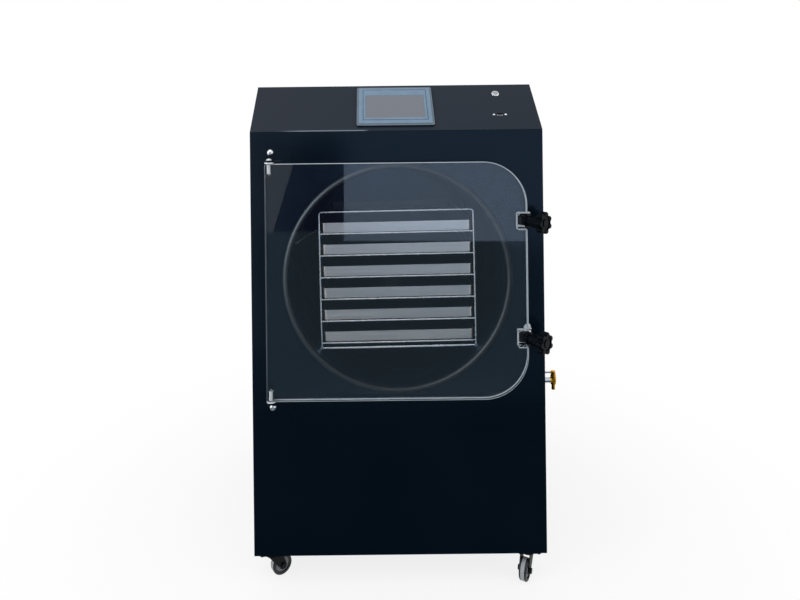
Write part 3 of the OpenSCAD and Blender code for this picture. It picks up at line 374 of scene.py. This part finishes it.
# %% [markdown]
# ## Door seal
# The seal is a soft bulb. Its roundness is a bump: the height across the ring is half a circle,
# measured from the middle line of the ring round the drum's axis, so its flanks catch side light.
# The circle is a touch larger than the ring is wide, which keeps the slope at both rims finite.

# %% Rounded seal
SEAL_WIDTH = 0.014
SEAL_BULGE = 0.0056
CIRCLE = 1.02
seal_low, seal_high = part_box("door_seal")
seal_radius = (seal_high[0] - seal_low[0]) / 2
seal_rubber, tree, shader = start_material("seal rubber", Specular_IOR_Level=0.13)
flat = vectors(tree, "MULTIPLY", from_middle(tree, seal_low, seal_high), (1.0, 0.0, 1.0))
distance = vectors(tree, "LENGTH", flat)
across = spread(tree, distance, seal_radius - SEAL_WIDTH, seal_radius, -1.0, 1.0)
height = maths(tree, "SQRT", maths(tree, "SUBTRACT", CIRCLE, maths(tree, "POWER", across, 2.0)))
bulge = add(tree, "ShaderNodeBump")
bulge.inputs["Strength"].default_value = 1.0
bulge.inputs["Distance"].default_value = SEAL_BULGE
join(tree, [
    (height, bulge.inputs["Height"]),
    (bulge.outputs["Normal"], shader.inputs["Normal"]),
])
skin = place_group(tree, skin_group)
tint(tree, skin.outputs["Patches"], (4, 7, 11), (9, 12, 17), shader.inputs["Base Color"])
vary(tree, skin.outputs["Patches"], 0.55, 0.62, shader.inputs["Roughness"])
print("seal radius", round(seal_radius, 4))

# %% [markdown]
# ## Pieces with bands of colour
# Some pieces change colour along one direction. The trays' front faces are painted bright as a
# highlight, and the steel behind them is painted dark as shade. The upper half of the data socket
# is painted dark as the shade inside its slot, in a bright shell. The screen's bezel is painted
# dark on its sides as shade, with a grey rim and a blue-grey face. The pane's polished edge is
# painted bright as a highlight, and darker on the hinge side, where the bracket shades it. A colour
# ramp along that direction does all four, and the brush lines darken it a little here and there.

# %% Banded finish
WORN = (0.88, 1.0)


def banded(name, direction, bands, rough, stretch=(3.0, 3.0, 700.0), **sockets):
    material, tree, shader = start_material(name, **sockets)
    brush = place_group(tree, brush_group, Stretch=stretch)
    start, end = bands[0][0], bands[-1][0]
    ramp = add(tree, "ShaderNodeValToRGB")
    stops = ramp.color_ramp.elements
    inner = [stops.new(0.5) for _ in bands[2:]]
    for stop, (at, rgb) in zip([stops[0]] + inner + [stops[-1]], bands):
        stop.position = (at - start) / (end - start)
        stop.color = linear(*rgb)
    worn = add(tree, "ShaderNodeVectorMath", operation="SCALE")
    join(tree, [
        (spread(tree, travel(tree, direction), start, end), ramp.inputs["Fac"]),
        (ramp.outputs["Color"], worn.inputs[0]),
        (worn.outputs["Vector"], shader.inputs["Base Color"]),
        (brush.outputs["Normal"], shader.inputs["Normal"]),
    ])
    vary(tree, brush.outputs["Lines"], WORN[0], WORN[1], worn.inputs["Scale"])
    vary(tree, brush.outputs["Lines"], rough[0], rough[1], shader.inputs["Roughness"])
    return material


print("banded finish ready")

# %% Trays and the pane's edge
TRAY_HIGHLIGHT_DEPTH, TRAY_SHADE_DEPTH = 0.002, 0.012
EDGE_SHADED, EDGE_BRIGHT = 0.004, 0.03
to_the_right = (1.0, 0.0, 0.0)
to_the_back = (0.0, 1.0, 0.0)
tray_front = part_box("tray_1")[0][1]
# The tray fronts are painted bright as a highlight; the steel behind them is painted dark as shade.
tray_steel = banded(
    "tray steel", to_the_back,
    [(tray_front + TRAY_HIGHLIGHT_DEPTH, (217, 207, 201)), (tray_front + TRAY_SHADE_DEPTH, (66, 70, 76))],
    rough=(0.3, 0.42), Metallic=1.0,
)
pane_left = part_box("door_pane")[0][0]
# The pane's edge is painted bright as a highlight, and darker as shade on the hinge side.
pane_edge = banded(
    "acrylic edge painted highlight", to_the_right,
    [(pane_left + EDGE_SHADED, (74, 84, 94)), (pane_left + EDGE_BRIGHT, (178, 189, 198))],
    rough=(0.12, 0.2), Metallic=0.0,
)
print(tray_steel.name, "and", pane_edge.name)

# %% [markdown]
# The bezel and the socket sit on the sloping face, so their bands follow its own two directions:
# up the slope for the socket, and straight out of it for the bezel. The bend at the foot of the
# face is the lowest front corner of the control panel, and heights above the sheet start there.
# Each colour changes to the next within 0.4 mm, so the borders are crisp but not jagged.

# %% Bezel and socket on the sloping face
SLOPE_RISE, SLOPE_DEPTH = 0.115, 0.12
CHANGE = 0.0004
RIM_START, FACE_START = 0.0037, 0.0058
SHADED_SIDE, GREY_RIM, BLUE_FACE = (12, 17, 23), (98, 112, 126), (112, 136, 158)
lean = math.atan2(SLOPE_RISE, SLOPE_DEPTH)
up_slope = Vector((0.0, math.cos(lean), math.sin(lean)))
out_of_slope = Vector((0.0, -math.sin(lean), math.cos(lean)))
fold = Vector(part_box("control_panel")[0])
sheet_at = out_of_slope.dot(fold)
socket_low, socket_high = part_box("data_socket")
slot_shade_at = up_slope.dot((Vector(socket_low) + Vector(socket_high)) / 2)
# The socket's upper half is painted dark as the shade inside its slot.
socket_steel = banded(
    "data socket", up_slope,
    [(slot_shade_at, (228, 230, 232)), (slot_shade_at + CHANGE, (16, 20, 25))],
    rough=(0.2, 0.3), Metallic=1.0,
)
# The bezel's sides are painted dark as shade.
bezel_plastic = banded(
    "screen bezel plastic", out_of_slope,
    [
        (sheet_at + RIM_START, SHADED_SIDE), (sheet_at + RIM_START + CHANGE, GREY_RIM),
        (sheet_at + FACE_START, GREY_RIM), (sheet_at + FACE_START + CHANGE, BLUE_FACE),
    ],
    rough=(0.3, 0.4), stretch=(40.0, 40.0, 40.0), Specular_IOR_Level=0.3,
)
print("the sloping face leans", round(math.degrees(lean), 1), "degrees")

# %% [markdown]
# ## Painted highlight on the bend
# The bend below the screen is painted pale along its left part, as a highlight. Three soft
# masks, one across the bend and one at each end, blend the painted highlight in. Each mask runs
# from none to full between two distances, up the slope or from the left side of the panel.


# %% Painted highlight on the bend
def fade(tree, value, base, ends):
    start, end = base + ends[0], base + ends[1]
    return spread(tree, value, start, end, interpolation_type="SMOOTHSTEP")


HIGHLIGHT_ACROSS_BEND = (0.0045, 0.002)
HIGHLIGHT_LEFT_END = (0.06, 0.13)
HIGHLIGHT_RIGHT_END = (0.29, 0.27)
tree = lit_slope_paint.node_tree
colour = tree.nodes["Principled BSDF"].inputs["Base Color"]
coat_colour = colour.links[0].from_socket
sideways = travel(tree, to_the_right)
across = fade(tree, travel(tree, up_slope), up_slope.dot(fold), HIGHLIGHT_ACROSS_BEND)
left_end = fade(tree, sideways, fold.x, HIGHLIGHT_LEFT_END)
right_end = fade(tree, sideways, fold.x, HIGHLIGHT_RIGHT_END)
painted_highlight = maths(tree, "MULTIPLY", across, maths(tree, "MULTIPLY", left_end, right_end))
# The pale colour is a painted highlight on the bend.
feed(tree, colour, mixed(tree, painted_highlight, coat_colour, linear(112, 123, 136)))
print("bend at", [round(v, 3) for v in fold])

# %% [markdown]
# ## Drain valve
# The valve is one solid in the CAD, but its nipple is steel and only the body is brass. The same
# goes for the lever and its hub. A plain mask on the side towards the cabinet parts the metals.

# %% Brass and steel on the valve
BRASS_LENGTH = 0.0165
valve_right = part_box("drain_valve")[1][0]
brass, tree, shader = start_material("turned brass", Metallic=1.0)
brush = place_group(tree, brush_group, Stretch=(60.0, 60.0, 1200.0))
is_nipple = maths(tree, "LESS_THAN", travel(tree, to_the_right), valve_right - BRASS_LENGTH)
metal = mixed(tree, is_nipple, linear(214, 158, 44), linear(206, 209, 212))
join(tree, [
    (metal, shader.inputs["Base Color"]),
    (brush.outputs["Normal"], shader.inputs["Normal"]),
])
vary(tree, brush.outputs["Lines"], 0.2, 0.32, shader.inputs["Roughness"])
print("valve of brass and steel")

# %% [markdown]
# ## Caster wheels
# Each wheel is a grey nylon hub with a dark rubber tread, painted pale along its middle as a
# highlight. The CAD wheel is one solid: the distance from its own axle tells tread from hub, and
# the distance along the axle finds the middle band with the painted highlight, so the colours turn
# with the wheel.

# %% Wheel finish
HUB_RADIUS = 0.0175
TREAD_HIGHLIGHT_HALF = 0.0045
CASTERS = ("fl", "fr", "rl", "rr")


def wheel_finish(key):
    low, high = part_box("caster_wheel_" + key)
    axle = next(j for j in frame["joints"] if j["child"] == "wheel_" + key)["axis"]
    material, tree, shader = start_material("wheel " + key)
    offset = from_middle(tree, low, high)
    radius = vectors(tree, "LENGTH", vectors(tree, "CROSS_PRODUCT", offset, axle))
    side = maths(tree, "ABSOLUTE", vectors(tree, "DOT_PRODUCT", offset, axle))
    on_tread_highlight = maths(tree, "LESS_THAN", side, TREAD_HIGHLIGHT_HALF)
    is_hub = maths(tree, "LESS_THAN", radius, HUB_RADIUS)
    # The pale middle band of the tread is a painted highlight.
    tread = mixed(tree, on_tread_highlight, linear(10, 12, 14), linear(150, 156, 162))
    colour = mixed(tree, is_hub, tread, linear(120, 125, 130))
    skin = place_group(tree, skin_group, Grain_height=0.15)
    join(tree, [
        (colour, shader.inputs["Base Color"]),
        (skin.outputs["Normal"], shader.inputs["Normal"]),
    ])
    vary(tree, skin.outputs["Patches"], 0.4, 0.55, shader.inputs["Roughness"])
    return material


wheel_materials = {key: wheel_finish(key) for key in CASTERS}
print(len(wheel_materials), "wheel finishes")

# %% [markdown]
# ## Dress the CAD pieces
# Every CAD piece keeps its shape and its place. Its material slots are given a finish from the
# list, which reads like a parts list: a finish first, then all pieces that wear it.

# %% Give each node its finish
FINISHES = [
    (paint, ["side_panel_left", "side_panel_right", "rear_panel", "top_panel"]),
    (front_paint, ["front_panel", "hinge_bracket_upper", "hinge_bracket_lower"]),
    (lit_slope_paint, ["control_panel"]),
    (inner_paint, ["base_pan", "deck_plate"]),
    (drum_steel_in_shade, ["chamber_drum"]),
    (foam, ["chamber_jacket"]),
    (copper, ["cooling_coil"]),
    (seal_rubber, ["door_seal"]),
    (rack_steel, ["tray_rack"]),
    (probe_steel, ["temperature_probe"]),
    (tray_steel, ["tray_%d" % i for i in range(1, 7)]),
    (bezel_plastic, ["screen_housing"]),
    (screen_face, ["screen_glass"]),
    (bright_steel, [
        "button_bezel", "hinge_screws", "clamp_screws", "small_screws", "drain_pipe", "vacuum_port",
    ]),
    (cap_steel, ["button_cap"]),
    (socket_steel, ["data_socket"]),
    (plate_steel, ["clamp_plates", "hinge_pin_upper", "hinge_pin_lower"]),
    (black_coat, [
        "clamp_bracket_upper", "clamp_bracket_lower", "swing_bolt_upper", "swing_bolt_lower",
    ]),
    (acrylic, ["door_pane"]),
    (black_plastic, [
        "clamp_sleeve_upper", "clamp_sleeve_lower", "star_knob_upper", "star_knob_lower",
        "power_inlet",
    ]),
    (fan_plastic, ["fan_frame", "fan_rotor"]),
    (brass, ["drain_valve", "drain_handle"]),
    (fork_coat, ["caster_plates"] + ["caster_fork_" + key for key in CASTERS]),
    (pot_paint, ["compressor"]),
    (fins, ["condenser"]),
] + [(wheel_materials[key], ["caster_wheel_" + key]) for key in CASTERS]

for finish, names in FINISHES:
    for node_name in names:
        mesh = nodes[node_name].data
        mesh.materials.clear()
        mesh.materials.append(finish)
print("dressed", sum(len(names) for _, names in FINISHES), "of", len(nodes))

# %% [markdown]
# ## Edges that catch the light
# A polished acrylic edge and the screen's bezel are never razor sharp. A narrow bevel gives them a
# face that catches the lamps. The bevel wants whole faces, so the mesh is first joined and its flat
# triangles are merged. On the door the bevel has a finish of its own, the polished edge with its
# painted highlight.

# %% Soften the edges
SAME_POINT = 0.00001
SAME_PLANE = math.radians(0.3)
SHARP = math.radians(40)


def soften(node_name, width, slot=-1):
    thing = nodes[node_name]
    weld = thing.modifiers.new("join faces", "WELD")
    weld.merge_threshold = SAME_POINT
    flat = thing.modifiers.new("whole faces", "DECIMATE")
    flat.decimate_type = "DISSOLVE"
    flat.angle_limit = SAME_PLANE
    bevel = thing.modifiers.new("soft edges", "BEVEL")
    bevel.width = width
    bevel.segments = 2
    bevel.use_clamp_overlap = False
    bevel.limit_method = "ANGLE"
    bevel.angle_limit = SHARP
    bevel.material = slot
    even = thing.modifiers.new("flat faces stay flat", "WEIGHTED_NORMAL")
    even.weight = 100
    even.keep_sharp = True


nodes["door_pane"].data.materials.append(pane_edge)
soften("door_pane", 0.0016, slot=1)
soften("screen_housing", 0.0008)
print("edges softened")

# %% [markdown]
# ## Camera
# The camera stands a little left of the machine at the height of the fold and looks straight back.
# It isn't tilted, which keeps upright edges upright, and it rolls by little more than half a
# degree. The lens shift brings the lower half of the machine into the picture. Lens and axis are
# given for a picture of 800 by 600, and turned into Blender's millimetres and shares.

# %% Place the camera
FOCAL = 624.37
IMAGE = (800, 600)
AXIS_POINT = (370.46, 124.49)
SENSOR = 36.0
ROLL = 0.011
LEFT_OF_MIDDLE, BEFORE_FRONT, EYE_HEIGHT = 0.0614, 1.5013, 1.1052
cabinet_low, cabinet_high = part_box("front_panel")
face_x = (cabinet_low[0] + cabinet_high[0]) / 2
face_y = cabinet_low[1]
camera_data = bpy.data.cameras.new("camera")
camera = bpy.data.objects.new("camera", camera_data)
bpy.context.scene.collection.objects.link(camera)
camera_data.sensor_width = SENSOR
camera_data.lens = FOCAL * SENSOR / IMAGE[0]
camera_data.shift_x = (IMAGE[0] / 2 - AXIS_POINT[0]) / IMAGE[0]
camera_data.shift_y = (AXIS_POINT[1] - IMAGE[1] / 2) / IMAGE[0]
camera_data.clip_end = 50.0
right = Vector((math.cos(ROLL), 0.0, -math.sin(ROLL)))
up = Vector((math.sin(ROLL), 0.0, math.cos(ROLL)))
back = Vector((0.0, -1.0, 0.0))
turn = Matrix((right, up, back)).transposed().to_4x4()
stand = Matrix.Translation((face_x - LEFT_OF_MIDDLE, face_y - BEFORE_FRONT, EYE_HEIGHT))
camera.matrix_world = stand @ turn
bpy.context.scene.camera = camera
print("lens", round(camera_data.lens, 2), "mm")

# %% [markdown]
# ## Studio
# The machine stands in even white light. The world gives the soft overall light, and three lamps,
# above and at both sides, add a gentle direction. Seen by the camera, and through or in shiny
# pieces, the world is plain white, which needs the Light Path node: it tells such rays from the
# ones that only carry light.

# %% World
LIT_BY_WORLD, SEEN_WORLD = 0.8, 1.0
world = bpy.data.worlds.new("studio")
bpy.context.scene.world = world
world.use_nodes = True
sky = world.node_tree
background = sky.nodes["Background"]
background.inputs["Color"].default_value = (1.0, 1.0, 1.0, 1.0)


def seen_directly(tree):
    path = add(tree, "ShaderNodeLightPath")
    looked_at = maths(
        tree, "MAXIMUM", path.outputs["Is Camera Ray"], path.outputs["Is Transmission Ray"],
    )
    return maths(tree, "MAXIMUM", looked_at, path.outputs["Is Glossy Ray"])


strength = spread(sky, seen_directly(sky), 0.0, 1.0, LIT_BY_WORLD, SEEN_WORLD)
feed(sky, background.inputs["Strength"], strength)
print("world", world.name)


# %% Lamps round the machine
def lamp(name, place, aim, size, power):
    data = bpy.data.lights.new(name, "AREA")
    data.shape = "RECTANGLE"
    data.size, data.size_y = size
    data.energy = power
    thing = bpy.data.objects.new(name, data)
    bpy.context.scene.collection.objects.link(thing)
    thing.location = place
    thing.rotation_euler = (Vector(aim) - Vector(place)).to_track_quat("-Z", "Y").to_euler()
    return thing


lamp("top lamp", (-0.6, -1.2, 3.2), (0.0, 0.0, 0.6), (2.4, 2.0), 14.0)
lamp("left lamp", (-2.6, -2.0, 1.6), (0.0, 0.0, 0.7), (0.5, 1.6), 18.0)
lamp("right lamp", (2.5, -1.6, 1.4), (0.0, 0.0, 0.7), (0.3, 1.4), 5.0)
print(len(bpy.data.lights), "lamps")

# %% [markdown]
# A fourth lamp stands for a window to the front left, which draws a soft highlight round the
# rubber seal. The dark seal mirrors so little that this lamp has to be strong, so light linking
# keeps it on the seal alone, and only its mirror image counts: it adds no plain light.

# %% Lamp for the seal
SEAL_HEIGHT = 0.74
seal_lamp = lamp(
    "seal lamp", (-2.1, face_y - 1.3, 1.65), (0.0, face_y, SEAL_HEIGHT), (2.2, 1.2), 900.0,
)
seal_lamp.data.color = (0.88, 0.94, 1.0)
seal_lamp.visible_diffuse = False
shines_on = bpy.data.collections.new("seal lamp shines on")
shines_on.objects.link(nodes["door_seal"])
seal_lamp.light_linking.receiver_collection = shines_on

# %% [markdown]
# ## Floor
# The floor is a large pale sheet. Far from the machine it turns into the same plain white as the
# world, so no horizon shows, and near the machine it still takes the soft shadow.


# %% Floor
def sheet(name, corners, material):
    mesh = bpy.data.meshes.new(name)
    mesh.from_pydata(corners, [], [(0, 1, 2, 3)])
    mesh.materials.append(material)
    thing = bpy.data.objects.new(name, mesh)
    bpy.context.scene.collection.objects.link(thing)
    return thing


def level(left, right, front, back, height):
    corners = [(left, front), (right, front), (right, back), (left, back)]
    return [(x, y, height) for x, y in corners]


FLOOR_REACH = 12.0
SHADOW_START, SHADOW_END = 0.4, 1.4
WHITE_NEAR, WHITE_FAR = 0.82, 1.0
floor_material, tree, shader = start_material(
    "pale floor", Base_Color=(0.92, 0.92, 0.92, 1.0), Roughness=0.9, Specular_IOR_Level=0.0,
)
away = vectors(tree, "LENGTH", here(tree))
share = spread(
    tree, away, SHADOW_START, SHADOW_END, WHITE_NEAR, WHITE_FAR, interpolation_type="SMOOTHSTEP",
)
white = add(tree, "ShaderNodeEmission")
whiteness = maths(tree, "MULTIPLY", share, seen_directly(tree))
blend_shaders(tree, whiteness, shader.outputs["BSDF"], white.outputs["Emission"])
sheet("floor", level(-FLOOR_REACH, FLOOR_REACH, -FLOOR_REACH, FLOOR_REACH, 0), floor_material)
print("floor", 2 * FLOOR_REACH, "m wide")

# %% [markdown]
# ## What the shiny pieces mirror
# A dark coat and a clear door show what stands before them. Small cards just behind the camera
# stand in for a dim room: a low wall, a dark doorway with a pale wall beside it, and the floor up
# to the machine. Only glossy and transmitted rays see them, so they light nothing. The near floor
# and the upper wall are for mirror images alone: rays that pass through the door miss them.


# %% Card for reflections
def card(name, corners, rgb, power=1.0):
    material = bpy.data.materials.new(name)
    material.use_nodes = True
    tree = material.node_tree
    tree.nodes.remove(tree.nodes["Principled BSDF"])
    glow = add(tree, "ShaderNodeEmission")
    glow.inputs["Strength"].default_value = power
    noise = add(tree, "ShaderNodeTexNoise")
    noise.inputs["Scale"].default_value = 0.8
    lighter = [min(255, int(v * 1.15) + 2) for v in rgb]
    tint(tree, noise.outputs["Fac"], rgb, lighter, glow.inputs["Color"])
    join(tree, [
        (here(tree), noise.inputs["Vector"]),
        (glow.outputs["Emission"], tree.nodes["Material Output"].inputs["Surface"]),
    ])
    thing = sheet(name, corners, material)
    thing.visible_camera = False
    thing.visible_diffuse = False
    thing.visible_shadow = False
    return thing


def upright(y, corners):
    return [(x, y, z) for x, z in corners]


print("cards are sheets that glow")

# %% The room behind the camera
ROOM = (94, 115, 131)
LEFT, RIGHT = -0.75, 0.95
SKIRTING, SILL, LINTEL, CEILING = -0.02, 0.56, 1.05, 2.2
ABOVE_FLOOR = 0.003
wall = face_y - 1.75
before_wall = wall + 0.02
mid_floor = face_y - 1.0
cards = [
    card("low wall", upright(wall, [
        (LEFT, SKIRTING), (RIGHT, SKIRTING), (RIGHT, SILL), (LEFT, SILL),
    ]), ROOM),
    card("dark doorway", upright(wall, [
        (LEFT, SILL), (RIGHT, SILL), (RIGHT, LINTEL), (LEFT, LINTEL),
    ]), (56, 66, 92)),
    card("pale wall", upright(before_wall, [
        (-0.232, 0.514), (0.94, 0.5), (0.94, LINTEL), (-0.225, LINTEL),
    ]), (179, 203, 251), 1.15),
    card("left wall", upright(before_wall, [
        (-0.74, SILL), (-0.593, SILL), (-0.44, LINTEL), (-0.74, LINTEL),
    ]), (150, 158, 170)),
    card("far floor", level(LEFT, RIGHT, wall - 0.02, mid_floor, ABOVE_FLOOR), ROOM),
]
near_floor = card(
    "near floor", level(-1.4, 1.4, mid_floor, face_y - 0.05, ABOVE_FLOOR), (22, 30, 40),
)
upper_wall = card("upper wall", upright(before_wall, [
    (-1.6, LINTEL), (1.6, LINTEL), (1.6, CEILING), (-1.6, CEILING),
]), (186, 212, 246))
for thing in (near_floor, upper_wall):
    thing.visible_transmission = False
bpy.context.scene.view_settings.view_transform = "Standard"
print(len(cards) + 2, "reflection cards")
